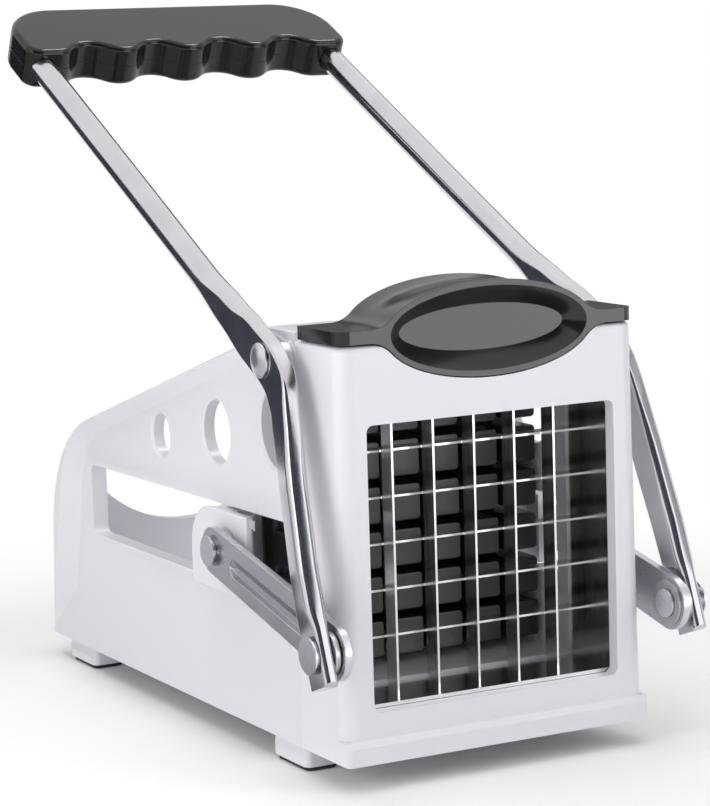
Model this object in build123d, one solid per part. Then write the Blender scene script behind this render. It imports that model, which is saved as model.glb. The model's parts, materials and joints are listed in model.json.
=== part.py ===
from build123d import *
import math
import os

# Lever-driven french fry cutter.
# X runs across the machine, +Y from the cutting window to the back, +Z up from the table.
# Everything is drawn with the front face at y = 0 and moved to the middle of its box at the end.

# ---------------------------------------------------------------- ways of working
past = 1.0                   # how far cutting tools and joined pieces reach past a face
near = 1.0                   # how close to a place an edge or corner is picked out
dome_share = 0.6             # part of a head's height that its rounding takes
fillet_share = 0.9           # most of a wall that a rounding may take

# ---------------------------------------------------------------- driving dimensions, mm and degrees
# cutting grid
cell_pitch = 12.7            # one fry and one blade
cells = 6                    # across and up
blade_thickness = 0.6
blade_depth = 6.4            # along Y, for one layer of blades
layer_gap = 0.2              # between the upright and the level layer
blade_setback = 10.2         # front face to the first cutting edge
grid_centre_z = 62.5

# blade frame and its channel in the housing
frame_plate = 1.2
frame_half_width = 40.2
frame_depth = 20.0
frame_base_z = 20.9
frame_top_drop = 12.8         # top bar of the frame below the top of the block
channel_clearance = 0.4
seat_clearance = 0.3

# housing
block_top_z = 118.8
block_top_half_width = 45.9
base_half_width = 47.5
base_z = 7.5
front_wall = 4.0
front_corner_radius = 4.5
window_half_width = 38.4
window_bottom_z = 21.0
window_height = 76.8
window_corner_radius = 2.0
bridge_back_y = 42.0
bridge_clearance = 3.9       # over the ram's head
floor_z = 23.0
floor_thickness = 2.5
rim_drop = 0.2985            # fall of the tray rim per millimetre towards the back
rim_flat_y = 45.6            # where the rim starts to fall
rim_shoulder_radius = 12.0
tray_length = 204.3
rear_lean = 3.4              # degrees
rim_corner_radius = 40.0
rear_wall = 6.3
rear_dip_radius = 42.0
rear_dip_z = 40.7
edge_round = 1.6
ledge_proud = 1.6
ledge_height = 6.5
rear_border = 12.0            # sloping borders of the side panels
border_spread = 1.25

# side panels, set back into the sides of the tray
panel_half_width = 42.5
panel_front_y = 25.4
panel_bottom_z = 23.5
panel_rear_y = 193.3
panel_rear_lean = 11.7
panel_corner_radius = 26.0
panel_corner_spread = 0.6    # growth of that radius for each millimetre of the rear border
panel_band = 4.8             # height of the band under the rim
slot_bottom_z = 45.5
slot_height = 20.5
slot_front_y = 30.0
slot_rear_y = 177.0
slot_corner_radius = 2.5
slot_frame_width = 5.0
slot_frame_proud = 0.9
hole_rim_chamfer = 0.8
small_hole_diameter = 13.0
small_hole_y = 123.0
small_hole_z = 81.3
middle_hole_diameter = 18.5
middle_hole_y = 84.0
middle_hole_z = 86.9
large_hole_diameter = 24.0
large_hole_y = 43.5
large_hole_z = 92.5

# underside
skirt_wall = 2.6
rib_thickness = 2.0
rib_clear_of_table = 4.0
foot_width = 11.0
foot_depth = 20.5
foot_half_spacing = 40.5
front_foot_y = 36.2
rear_foot_y = 183.8
foot_corner_radius = 2.0
pad_thickness = 1.3
pad_inset = 0.8

# cap that lifts the blade frame out
cap_bar_half_width = 46.0
cap_bar_thickness = 3.7
cap_depth = 23.0
cap_seat_gap = 0.35
cap_oval_half_width = 32.0
cap_oval_half_height = 12.9
cap_blend_radius = 9.0
cap_dish_rim = 1.7
cap_dish_depth = 4.6
cap_floor_half_width = 25.4
cap_floor_half_height = 6.2
cap_corner_radius = 4.0
cap_centre_above_seat = 1.5
oval_clearance = 0.3

# lever
pivot_y = 28.8
pivot_drop = 5.1             # pivot below the top of the block
pin_y = -5.9                 # where the lever pulls the link
pin_z = 40.6
handle_rise = 26.4           # degrees above level
tube_diameter = 7.8
tube_half_spacing = 50.4
arm_length = 168.9           # pivot to the mouth of the grip
tube_in_grip = 22.0
flat_length = 46.0           # pivot to where the round tube starts
pad_width = 12.2
pad_thickness_x = 4.6
pad_centre_x = 52.0
shin_width = 9.4
shin_thickness = 5.6
shin_centre_x = 56.6
tip_width = 11.0
tip_thickness = 4.0
tip_inner_x = 55.5
tip_reach = 5.1              # pin centre to the centre of the rounded end
tip_edge_round = 0.9
knee_reach = 10.1            # pivot to the corner where arm and shin would meet
section_points = 20
section_steps = 4            # sections from one station of the tube to the next

# grip
grip_half_length = 56.0
grip_front = 3.0             # front edge beyond the mouth line
grip_depth = 30.0
grip_thickness = 13.0
grip_scallop_pitch = 23.05
grip_scallop_depth = 5.0
grip_far_corner_radius = 17.0
grip_near_corner_radius = 5.0
grip_edge_round = 1.8
socket_clearance = 0.05
grip_screw_inset = 16.5      # behind the front edge
socket_end_gap = 0.5         # beyond the end of a tube
screw_head_recess = 0.2      # below the face of the grip

# pusher
carriage_pin_y = 65.5
carriage_pin_z = 56.4
carriage_front_y = 69.1
carriage_length = 16.9
carriage_half_width = 48.8
carriage_corner_radius = 12.0
carriage_lip = 3.0
carriage_wall = 3.2
carriage_bays = 3
carriage_end_setback = 1.5
carriage_edge_round = 0.8
slider_front_y = 53.6        # front edge of the thin plate outside the slot
slider_plate = 2.0
slider_tab = 3.1             # thickness of the plate's upper front corner
slider_boss_x = 43.2         # inner face of the boss behind the plate
slider_boss_y = 60.0
slot_running_gap = 0.4
head_half_width = 37.6
head_thickness = 8.8
head_side_flat = 0.4          # flat left between the rounded edges of its sides
head_wall = 2.6
finger_gap = 2.3
finger_length = 21.8
finger_corner_radius = 1.2

# pins, links and fasteners
pin_radius = 3.0
pin_root_x = 43.8            # how far in the carriage pins reach
lever_rivet_gap = 0.3        # between the lever's rivet and the link
running_clearance = 0.05
link_inner_x = 51.5
link_thickness = 2.2
link_width_at_carriage = 13.3
link_width_at_lever = 15.3
link_groove_width = 5.2
link_groove_depth = 0.5
head_gap = 0.2
carriage_head_radius = 4.4
carriage_head_height = 1.4
lever_head_radius = 5.0
lever_head_height = 1.4
pivot_head_radius = 4.8
pivot_head_height = 1.9
pivot_screw_length = 10.0
pivot_boss_radius = 4.6
pivot_boss_x = 46.2
washer_radius = 6.0
pivot_spacer_radius = 4.4
link_washer_radius = 6.4
link_washer_thickness = 0.7
link_rivet_radius = 4.0
link_rivet_height = 0.9
screw_radius = 1.6
screw_head_radius = 3.0
screw_head_height = 1.8
screw_end_gap = 0.5           # left free at the bottom of a screw's hole
cap_screw_length = 7.0
cap_screw_x = 19.05
blade_edge = 1.2              # length of the ground bevel

# ---------------------------------------------------------------- places worked out from the sizes
frame_top_z = block_top_z - frame_top_drop
bridge_bottom_z = grid_centre_z + head_half_width + bridge_clearance
pivot_z = block_top_z - pivot_drop
blade_count = cells - 1
level_layer_y = blade_setback + blade_depth + layer_gap
frame_front_y = front_wall + channel_clearance
frame_back_y = frame_front_y + frame_depth
channel_back_y = frame_back_y + channel_clearance
channel_half_width = frame_half_width + channel_clearance
channel_bottom_z = frame_base_z - channel_clearance
window_centre_z = window_bottom_z + window_height / 2
slot_top_z = slot_bottom_z + slot_height
underside_z = floor_z - floor_thickness
trough_back_y = tray_length - rear_wall
slot_length = slot_rear_y - slot_front_y
foot_rows = (front_foot_y, rear_foot_y)
foot_places = [(x, y) for x in (-foot_half_spacing, foot_half_spacing) for y in foot_rows]
link_outer_x = link_inner_x + link_thickness
cap_seat_z = block_top_z + cap_seat_gap
cap_centre_z = cap_seat_z + cap_centre_above_seat
carriage_back_y = carriage_front_y + carriage_length
head_front_y = carriage_front_y - head_thickness
rise = math.radians(handle_rise)
along = (math.cos(rise), math.sin(rise))
knee_y = pivot_y - knee_reach * along[0]
knee_z = pivot_z - knee_reach * along[1]
shin_length = math.hypot(knee_y - pin_y, knee_z - pin_z)
shin_direction = ((knee_y - pin_y) / shin_length, (knee_z - pin_z) / shin_length)
shin_rise = math.atan2(knee_z - pin_z, knee_y - pin_y)
bend_radius = knee_reach / math.tan((shin_rise - rise) / 2)
bend_start = shin_length - knee_reach
pivot_distance = bend_start + bend_radius * (shin_rise - rise)
grip_mouth_y = pivot_y + arm_length * along[0]
grip_mouth_z = pivot_z + arm_length * along[1]


# ---------------------------------------------------------------- small helpers
def across(face, x_from, x_to):
    """Extrude a face drawn as (y, z) from one x to another."""
    return Pos(x_from, 0, 0) * extrude(Plane.YZ * face, amount=x_to - x_from, dir=(1, 0, 0))


def lengthwise(face, y_from, y_to):
    """Extrude a face drawn as (x, z) from one y to another."""
    return Pos(0, y_from, 0) * extrude(Plane.XZ * face, amount=y_to - y_from, dir=(0, 1, 0))


def upwards(face, z_from, z_to):
    """Extrude a face drawn as (x, y) from one z to another."""
    return Pos(0, 0, z_from) * extrude(face, amount=z_to - z_from, dir=(0, 0, 1))


def block(x_from, x_to, y_from, y_to, z_from, z_to):
    """A box given by its limits."""
    middle = Pos((x_from + x_to) / 2, (y_from + y_to) / 2, (z_from + z_to) / 2)
    return middle * Box(x_to - x_from, y_to - y_from, z_to - z_from)


def rod(radius, x_from, x_to, y, z):
    """A cylinder along X."""
    return Pos((x_from + x_to) / 2, y, z) * Rot(0, 90, 0) * Cylinder(radius, x_to - x_from)


def upright_rod(radius, x, y, z_from, z_to):
    """A cylinder along Z."""
    return Pos(x, y, (z_from + z_to) / 2) * Cylinder(radius, z_to - z_from)


def other_side(part):
    """The same piece on the other side of the machine."""
    return mirror(part, about=Plane.YZ)


def both_sides(part):
    """A piece and its mirror image."""
    return [part, other_side(part)]


def domed_head(radius, height, x_seat, y, z):
    """A round rivet head that stands on the plane x = x_seat."""
    head = rod(radius, x_seat, x_seat + height, y, z)
    outer_edge = head.edges().sort_by(Axis.X)[-1]
    return fillet(outer_edge, height * dome_share)


def grid_places():
    """Centres (x, z) of the grid's cells."""
    first = -(cells - 1) / 2
    steps = [(first + step) * cell_pitch for step in range(cells)]
    return [(x, grid_centre_z + z) for x in steps for z in steps]


# ---------------------------------------------------------------- housing
def rim_z(y):
    """Height of the tray rim at a given y."""
    return block_top_z - rim_drop * max(0.0, y - rim_flat_y)


def tray_outline():
    """Side view of the whole housing, with the large corner at the back of the rim."""
    lean = math.tan(math.radians(rear_lean))
    corner_z = (rim_z(tray_length) - lean * rim_drop * base_z) / (1 - lean * rim_drop)
    corner_y = tray_length - lean * (corner_z - base_z)
    outline = Polygon(
        (0, base_z),
        (tray_length, base_z),
        (corner_y, corner_z),
        (rim_flat_y, block_top_z),
        (0, block_top_z),
        align=None,
    )
    corner = outline.vertices().sort_by(Axis.X)[-2]
    outline = fillet(corner, rim_corner_radius)
    shoulder = outline.vertices().filter_by(lambda v: abs(v.X - rim_flat_y) < 0.01)
    return fillet(shoulder, rim_shoulder_radius)


def outer_body():
    """Block and tray as one form with drafted sides and rounded edges."""
    drafted = Polygon(
        (-base_half_width, base_z),
        (base_half_width, base_z),
        (block_top_half_width, block_top_z),
        (-block_top_half_width, block_top_z),
        align=None,
    )
    body = across(tray_outline(), -base_half_width, base_half_width)
    body = body & lengthwise(drafted, 0, tray_length)
    front = body.faces().sort_by(Axis.Y)[0]
    uprights = front.edges().filter_by(lambda e: abs((e @ 1 - e @ 0).Z) > block_top_z / 2)
    body = fillet(uprights, front_corner_radius)
    rim = body.edges().filter_by(lambda e: e.center().Z > base_z + near and abs(e.center().X) > near)
    return fillet(rim, edge_round)


def panel_outline(x, band, rear_out, bottom_out):
    """Outline of the set-back side panel, or of its mouth further out."""
    lean = math.tan(math.radians(panel_rear_lean))
    top_z = block_top_z - band
    rear_y = panel_rear_y + rear_out
    bottom_z = panel_bottom_z - bottom_out
    corner_z = top_z - rim_drop * (rear_y - rim_flat_y)
    corner_z = (corner_z - lean * rim_drop * bottom_z) / (1 - lean * rim_drop)
    corner_y = rear_y - lean * (corner_z - bottom_z)
    face = Polygon(
        (panel_front_y, bottom_z),
        (rear_y, bottom_z),
        (corner_y, corner_z),
        (rim_flat_y, top_z),
        (panel_front_y, top_z),
        align=None,
    )
    corner = face.vertices().sort_by(Axis.X)[-2]
    face = fillet(corner, panel_corner_radius + rear_out * panel_corner_spread)
    return Pos(x, 0, 0) * (Plane.YZ * face)


def panel_recess():
    """Tool that sets the side panel back behind its sloping borders."""
    mouth_x = base_half_width + past / 2
    spread = (mouth_x - panel_half_width) / (base_half_width - panel_half_width)
    panel = panel_outline(panel_half_width, panel_band, 0, 0)
    mouth = panel_outline(
        mouth_x,
        panel_band * (1 - border_spread * spread),
        rear_border * spread,
        (panel_bottom_z - base_z) * spread,
    )
    return loft([panel, mouth], ruled=True)


def slot_outline(grow, radius):
    """The side slot, drawn as (y, z), grown all round."""
    face = RectangleRounded(slot_length + 2 * grow, slot_height + 2 * grow, radius)
    return Pos((slot_front_y + slot_rear_y) / 2, slot_bottom_z + slot_height / 2) * face


def slot_frame():
    """Raised border round the slot, with sloping flanks."""
    foot = Plane.YZ * slot_outline(slot_frame_width, slot_corner_radius + slot_frame_width / 2)
    crest = Plane.YZ * slot_outline(slot_frame_width / 3, slot_corner_radius + slot_frame_width / 4)
    foot = Pos(panel_half_width - past / 2, 0, 0) * foot
    crest = Pos(panel_half_width + slot_frame_proud, 0, 0) * crest
    return loft([foot, crest], ruled=True)


def side_hole(diameter, y, z):
    """Round hole through a side panel, with a bevelled rim."""
    hole = rod(diameter / 2, window_half_width - past, base_half_width, y, z)
    bevel = Cone(diameter / 2, diameter / 2 + 2 * hole_rim_chamfer, 2 * hole_rim_chamfer)
    return hole + Pos(panel_half_width, y, z) * Rot(0, 90, 0) * bevel


def front_ledge():
    """Bevelled ledge along the foot of the front face."""
    top_z = base_z + ledge_height
    face = Polygon(
        (-ledge_proud, base_z),
        (-ledge_proud, top_z - ledge_proud),
        (0, top_z),
        (front_wall, top_z),
        (front_wall, base_z),
        align=None,
    )
    ledge = across(face, -base_half_width, base_half_width)
    ends = ledge.edges().filter_by(Axis.Z).filter_by(lambda e: e.center().Y < 0)
    return fillet(ends, ledge_proud * fillet_share)


def underside_pocket(y_from, y_to, top_z):
    """Hollow under the floor, inside the flared skirt."""
    flare = (base_half_width - panel_half_width) / (panel_bottom_z - base_z)
    low_half = base_half_width - skirt_wall
    top_half = low_half - flare * (top_z - base_z)
    drop = base_z - pad_thickness
    face = Polygon(
        (-low_half - flare * drop, pad_thickness),
        (low_half + flare * drop, pad_thickness),
        (top_half, top_z),
        (-top_half, top_z),
        align=None,
    )
    return lengthwise(face, y_from, y_to)


def underside_ribs():
    """Stiffening ribs under the floor: one along the middle and three across."""
    rib_z = base_z + rib_clear_of_table
    span = trough_back_y - channel_back_y
    ribs = block(-rib_thickness / 2, rib_thickness / 2, front_wall, trough_back_y, rib_z, underside_z + past)
    for quarter in (1, 2, 3):
        y = channel_back_y + quarter * span / 4
        ribs += block(-base_half_width, base_half_width, y, y + rib_thickness, rib_z, underside_z + past)
    return ribs


def foot_posts():
    """Four posts under the floor, kept inside the flare of the skirt."""
    inside = underside_pocket(0, tray_length, underside_z + past / 2)
    posts = []
    for x, y in foot_places:
        face = Pos(x, y) * RectangleRounded(foot_width, foot_depth, foot_corner_radius)
        posts.append(upwards(face, pad_thickness, underside_z + past) & inside)
    return posts


def rear_dip():
    """Tool for the scooped top of the low wall at the back."""
    centre_z = rear_dip_z + rear_dip_radius
    edge_z = centre_z - math.sqrt(rear_dip_radius**2 - window_half_width**2)
    limits = Pos(0, centre_z) * Rectangle(2 * window_half_width, 2 * rear_dip_radius)
    scoop = (Pos(0, centre_z) * Circle(rear_dip_radius)) & limits
    above = block_top_z - edge_z
    scoop += Pos(0, edge_z + above / 2) * Rectangle(2 * window_half_width, above)
    return lengthwise(scoop, trough_back_y - past, tray_length + past)


def cap_profile(grow=0):
    """Front view of the cap: a bar with an oval in its middle, blended together."""
    bar = Rectangle(2 * (cap_bar_half_width + grow), cap_bar_thickness + 2 * grow)
    oval = Ellipse(cap_oval_half_width + grow, cap_oval_half_height + grow)
    profile = Pos(0, cap_seat_z + cap_bar_thickness / 2) * bar
    profile += Pos(0, cap_centre_z) * oval
    inner = profile.vertices().filter_by(lambda v: abs(v.X) < cap_bar_half_width - near)
    return fillet(inner, cap_blend_radius - grow)


def housing():
    outer = outer_body()
    body = outer
    recess = panel_recess()
    boss = rod(pivot_boss_radius, panel_half_width - past, pivot_boss_x, pivot_y, pivot_z)
    fittings = [boss, slot_frame() & outer]
    for tool in both_sides(recess):
        body -= tool
    for fitting in fittings:
        body += both_sides(fitting)
    body += front_ledge()

    # openings
    inner = window_half_width
    window = RectangleRounded(2 * inner, window_height, window_corner_radius)
    body -= lengthwise(Pos(0, window_centre_z) * window, -past, front_wall + past)
    body -= block(
        -channel_half_width,
        channel_half_width,
        front_wall,
        channel_back_y,
        channel_bottom_z,
        block_top_z + past,
    )
    passage_end = bridge_back_y + past
    body -= block(-inner, inner, channel_back_y - past, passage_end, floor_z, bridge_bottom_z)
    body -= block(-inner, inner, bridge_back_y, trough_back_y, floor_z, block_top_z + past)
    body -= rear_dip()
    body -= lengthwise(cap_profile(oval_clearance), -past, cap_depth + oval_clearance)
    holes = [
        across(slot_outline(0, slot_corner_radius), window_half_width - past, base_half_width),
        side_hole(small_hole_diameter, small_hole_y, small_hole_z),
        side_hole(middle_hole_diameter, middle_hole_y, middle_hole_z),
        side_hole(large_hole_diameter, large_hole_y, large_hole_z),
        rod(pin_radius, pivot_boss_x - pivot_screw_length, pivot_boss_x + past, pivot_y, pivot_z),
    ]
    for hole in holes:
        body -= both_sides(hole)

    # underside
    pockets = [
        underside_pocket(channel_back_y + skirt_wall, tray_length - 2 * skirt_wall, underside_z),
        underside_pocket(skirt_wall, channel_back_y, channel_bottom_z - floor_thickness),
    ]
    for pocket in pockets:
        body -= pocket - underside_ribs()
    body += foot_posts()
    return body


def foot_pads():
    pads = []
    for x, y in foot_places:
        width = foot_width - 2 * pad_inset
        face = RectangleRounded(width, foot_depth - 2 * pad_inset, foot_corner_radius)
        pads.append(upwards(Pos(x, y) * face, 0, pad_thickness))
    return pads


# ---------------------------------------------------------------- blade frame and cap
def blade_section(y_front):
    """Section of one blade: flat, with its back edge ground to the cutting edge."""
    half = blade_thickness / 2
    y_back = y_front + blade_depth
    return [
        (y_front, -half),
        (y_back - blade_edge, -half),
        (y_back, 0),
        (y_back - blade_edge, half),
        (y_front, half),
    ]


def blade_offsets():
    """Distance of each blade from the middle of the grid."""
    return [(step - (blade_count - 1) / 2) * cell_pitch for step in range(blade_count)]


def vertical_blades():
    low_z = frame_base_z + frame_plate
    high_z = frame_top_z - frame_plate
    section = Polygon(*[(x, y) for y, x in blade_section(blade_setback)], align=None)
    blade = upwards(section, low_z, high_z)
    return [Pos(x, 0, 0) * blade for x in blade_offsets()]


def horizontal_blades():
    half_length = frame_half_width - frame_plate
    section = Polygon(*blade_section(level_layer_y), align=None)
    blade = across(section, -half_length, half_length)
    return [Pos(0, 0, grid_centre_z + z) * blade for z in blade_offsets()]


def cap_screw_places():
    """Where (x, y) the two screws join the blade frame to the cap."""
    y = level_layer_y + blade_depth / 2
    return [(-cap_screw_x, y), (cap_screw_x, y)]


def blade_frame():
    """Steel frame: two side plates joined by a bar at the bottom and one at the top."""
    outer = frame_half_width
    inner = outer - frame_plate
    top_z = block_top_z - channel_clearance
    frame = block(-outer, outer, frame_front_y, frame_back_y, frame_base_z, top_z)
    frame -= block(
        -inner,
        inner,
        frame_front_y - past,
        frame_back_y + past,
        frame_base_z + frame_plate,
        frame_top_z - frame_plate,
    )
    frame -= block(-inner, inner, frame_front_y - past, frame_back_y + past, frame_top_z, top_z + past)
    low_z = frame_top_z - frame_plate - past
    for x, y in cap_screw_places():
        frame -= upright_rod(screw_radius + running_clearance, x, y, low_z, frame_top_z + past)
    return frame


def cap_dish(y_mouth, direction):
    """Tool for one finger dish of the cap, cut in from the front or from the back."""
    mouth = Ellipse(cap_oval_half_width - cap_dish_rim, cap_oval_half_height - cap_dish_rim)
    floor = Ellipse(cap_floor_half_width, cap_floor_half_height)
    mouth = Pos(0, y_mouth, cap_centre_z) * (Plane.XZ * mouth)
    floor = Pos(0, y_mouth + direction * cap_dish_depth, cap_centre_z) * (Plane.XZ * floor)
    return loft([mouth, floor])


def blade_cap():
    cap = lengthwise(cap_profile(), 0, cap_depth)
    corners = cap.edges().filter_by(Axis.Z).filter_by(lambda e: e.center().Y < near)
    cap = fillet(corners, cap_corner_radius)
    cap -= cap_dish(0, 1)
    cap -= cap_dish(cap_depth, -1)
    half = frame_half_width - frame_plate - seat_clearance
    plug_front = front_wall + channel_clearance + seat_clearance
    cap += block(-half, half, plug_front, frame_back_y, frame_top_z, cap_seat_z + past)
    for x, y in cap_screw_places():
        hole_top_z = frame_top_z + cap_screw_length
        cap -= upright_rod(screw_radius + running_clearance, x, y, frame_top_z - past, hole_top_z)
    return cap


def cap_screws():
    seat_z = frame_top_z - frame_plate
    end_z = frame_top_z + cap_screw_length - screw_end_gap
    screws = []
    for x, y in cap_screw_places():
        head = upright_rod(screw_head_radius, x, y, seat_z - screw_head_height, seat_z)
        screws.append(head + upright_rod(screw_radius, x, y, seat_z - past, end_z))
    return screws


# ---------------------------------------------------------------- pusher
def slider_face(front_y):
    """Side view of the slider from a given front edge, with its round corner at the back."""
    low_z = slot_bottom_z + slot_running_gap
    high_z = slot_top_z - slot_running_gap
    middle = Pos((front_y + carriage_back_y) / 2, (low_z + high_z) / 2)
    face = middle * Rectangle(carriage_back_y - front_y, high_z - low_z)
    corner = face.vertices().sort_by(lambda v: v.X + v.Y)[-1]
    return fillet(corner, carriage_corner_radius)


def slider_lip():
    """Side view of the lip under the slider's plate."""
    low_z = slot_bottom_z + slot_running_gap
    middle = Pos((slider_front_y + carriage_back_y) / 2, low_z - carriage_lip / 2)
    face = middle * Rectangle(carriage_back_y - slider_front_y, carriage_lip)
    corner = face.vertices().sort_by(lambda v: v.X - v.Y)[-1]
    return fillet(corner, carriage_lip * fillet_share)


def carriage_end():
    """Slider on the right slot: a plate for the link's pin, and a runner through the slot."""
    plate_x = carriage_half_width - slider_plate
    tab_x = carriage_half_width - slider_tab
    high_z = slot_top_z - slot_running_gap
    runner_y = carriage_front_y + carriage_end_setback
    end = across(slider_face(slider_front_y), plate_x, carriage_half_width)
    end += across(slider_face(slider_boss_y), slider_boss_x, plate_x)
    end += across(slider_face(runner_y), window_half_width - 2 * slot_running_gap, plate_x)
    end += block(tab_x, plate_x, slider_front_y, slider_boss_y, high_z - carriage_lip, high_z)
    end += across(slider_lip(), plate_x, carriage_half_width)
    rim = end.faces().sort_by(Axis.X)[-1].edges()
    return fillet(rim, carriage_edge_round)


def pusher_carriage():
    low_z = slot_bottom_z + slot_running_gap
    high_z = slot_top_z - slot_running_gap
    beam_half = window_half_width - slot_running_gap
    beam = block(-beam_half, beam_half, carriage_front_y, carriage_back_y, low_z, high_z)
    bay = (2 * beam_half - carriage_wall) / carriage_bays
    for number in range(carriage_bays):
        x = -beam_half + carriage_wall + number * bay
        beam -= block(
            x,
            x + bay - carriage_wall,
            carriage_front_y + carriage_wall,
            carriage_back_y + past,
            low_z + carriage_wall,
            high_z - carriage_wall,
        )
    beam += both_sides(carriage_end())
    hole_end = carriage_half_width + past
    pin_hole = rod(pin_radius, pin_root_x, hole_end, carriage_pin_y, carriage_pin_z)
    beam -= both_sides(pin_hole)
    for x, z in pusher_screw_places():
        beam -= screw_hole(x, z)
    return beam


def pusher_screw_places():
    """Where (x, z) the three screws join the head to the carriage."""
    middle_z = slot_bottom_z + slot_height / 2
    return [(-2 * cell_pitch, middle_z), (0, middle_z), (2 * cell_pitch, middle_z)]


def screw_hole(x, z):
    front = head_front_y + head_wall
    face = Pos(x, z) * Circle(screw_radius + running_clearance)
    return lengthwise(face, front, carriage_front_y + carriage_wall + past)


def pusher_head():
    """Plate of the ram, with its upright edges rounded."""
    half = head_half_width
    low_z = grid_centre_z - half
    high_z = grid_centre_z + half
    plate = block(-half, half, head_front_y, carriage_front_y, low_z, high_z)
    sides = plate.edges().filter_by(Axis.Z)
    head = fillet(sides, (head_thickness - head_side_flat) / 2)
    for x, z in pusher_screw_places():
        head -= screw_hole(x, z)
    return head


def pusher_fingers():
    """One finger for each cell of the grid."""
    side = cell_pitch - finger_gap
    tip_y = head_front_y - finger_length
    finger = lengthwise(RectangleRounded(side, side, finger_corner_radius), tip_y, head_front_y)
    return [Pos(x, 0, z) * finger for x, z in grid_places()]


def pusher_screws():
    seat_y = carriage_front_y + carriage_wall
    screws = []
    for x, z in pusher_screw_places():
        head = lengthwise(Pos(x, z) * Circle(screw_head_radius), seat_y, seat_y + screw_head_height)
        end_y = head_front_y + head_wall + screw_end_gap
        shank = lengthwise(Pos(x, z) * Circle(screw_radius), end_y, seat_y + past)
        screws.append(head + shank)
    return screws


def pusher_pin():
    """Headed pin that the link turns on."""
    head_x = link_outer_x + head_gap
    pin = rod(pin_radius, pin_root_x, head_x + past / 2, carriage_pin_y, carriage_pin_z)
    head = domed_head(carriage_head_radius, carriage_head_height, head_x, carriage_pin_y, carriage_pin_z)
    return pin + head


def pusher_washer():
    place = (carriage_pin_y, carriage_pin_z)
    ring = rod(washer_radius, carriage_half_width, link_inner_x - head_gap, *place)
    return ring - rod(pin_radius + running_clearance, panel_half_width, link_outer_x, *place)


# ---------------------------------------------------------------- links
def link_outline():
    ends = Pos(carriage_pin_y, carriage_pin_z) * Circle(link_width_at_carriage / 2)
    ends += Pos(pin_y, pin_z) * Circle(link_width_at_lever / 2)
    return make_hull(ends.edges())


def link():
    """Flat bar from the carriage to the lever, stiffened by a pressed groove."""
    bar = across(link_outline(), link_inner_x, link_outer_x)
    length = math.hypot(carriage_pin_y - pin_y, carriage_pin_z - pin_z)
    angle = math.degrees(math.atan2(carriage_pin_z - pin_z, carriage_pin_y - pin_y))
    middle = Pos((carriage_pin_y + pin_y) / 2, (carriage_pin_z + pin_z) / 2)
    groove_length = length - 4 * washer_radius
    groove = middle * Rot(0, 0, angle) * SlotOverall(groove_length, link_groove_width)
    bar -= across(groove, link_outer_x - link_groove_depth, link_outer_x + past)
    for y, z in ((carriage_pin_y, carriage_pin_z), (pin_y, pin_z)):
        bar -= rod(pin_radius + running_clearance, link_inner_x - past, link_outer_x + past, y, z)
    return bar


def link_washer():
    seat_x = link_inner_x - link_washer_thickness
    ring = rod(link_washer_radius, seat_x, link_inner_x, pin_y, pin_z)
    return ring - rod(pin_radius + running_clearance, seat_x - past, link_outer_x, pin_y, pin_z)


def link_rivet():
    """Inner end of the lever rivet, spread over the washer on the link."""
    seat_x = link_inner_x - link_washer_thickness
    tail = rod(link_rivet_radius, seat_x - link_rivet_height, seat_x, pin_y, pin_z)
    tail = fillet(tail.edges().sort_by(Axis.X)[0], link_rivet_height * dome_share)
    return tail + rod(pin_radius, seat_x - link_rivet_height / 2, link_outer_x, pin_y, pin_z)


# ---------------------------------------------------------------- lever
def tube_section(centre, angle, width, thickness, squareness):
    """Section of the tube across its path: round at squareness 2, flattened above it."""
    points = []
    for step in range(section_points):
        turn = 2 * math.pi * step / section_points
        side, out = math.cos(turn), math.sin(turn)
        side = math.copysign(abs(side) ** (2 / squareness), side) * width / 2
        out = math.copysign(abs(out) ** (2 / squareness), out) * thickness / 2
        points.append((side, out))
    path_dir = (0, math.cos(angle), math.sin(angle))
    side_dir = (0, -math.sin(angle), math.cos(angle))
    face = make_face(Spline(*points, periodic=True))
    return Plane(origin=centre, x_dir=side_dir, z_dir=path_dir) * face


def lever_path(distance):
    """Point (y, z) and angle of the lever's centre line, measured up from the lower pin."""
    if distance <= bend_start:
        return (pin_y + distance * shin_direction[0], pin_z + distance * shin_direction[1], shin_rise)
    if distance >= pivot_distance:
        beyond = distance - pivot_distance
        return (pivot_y + beyond * along[0], pivot_z + beyond * along[1], rise)
    angle = shin_rise - (distance - bend_start) / bend_radius
    centre_y = pivot_y + bend_radius * math.sin(rise)
    centre_z = pivot_z - bend_radius * math.cos(rise)
    return (centre_y - bend_radius * math.sin(angle), centre_z + bend_radius * math.cos(angle), angle)


def lever_stations():
    """Distance up from the pin, x of the centre, width, thickness and squareness of the tube."""
    tip_x = tip_inner_x + tip_thickness / 2
    tube_start = pivot_distance + flat_length
    tube_end = pivot_distance + arm_length + tube_in_grip
    return [
        (washer_radius, tip_x, tip_width, tip_thickness, 5),
        (2 * washer_radius, shin_centre_x + 0.5, shin_width, shin_thickness - 0.4, 3),
        (0.35 * bend_start, shin_centre_x + 0.2, shin_width, shin_thickness, 3),
        (0.7 * bend_start, shin_centre_x - 1.4, shin_width, shin_thickness, 3),
        (bend_start, pad_centre_x + 1.4, (shin_width + pad_width) / 2, shin_thickness - 0.4, 3.6),
        (pivot_distance - bend_start * 0.15, pad_centre_x + 0.2, pad_width, pad_thickness_x, 4.5),
        (pivot_distance, pad_centre_x, pad_width, pad_thickness_x, 5),
        (pivot_distance + 0.25 * flat_length, pad_centre_x - 0.2, pad_width, pad_thickness_x + 0.2, 4.2),
        (pivot_distance + 0.6 * flat_length, tube_half_spacing + 0.4, 9.6, 6.6, 2.6),
        (tube_start, tube_half_spacing, tube_diameter, tube_diameter, 2),
        (tube_end, tube_half_spacing, tube_diameter, tube_diameter, 2),
    ]


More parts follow.
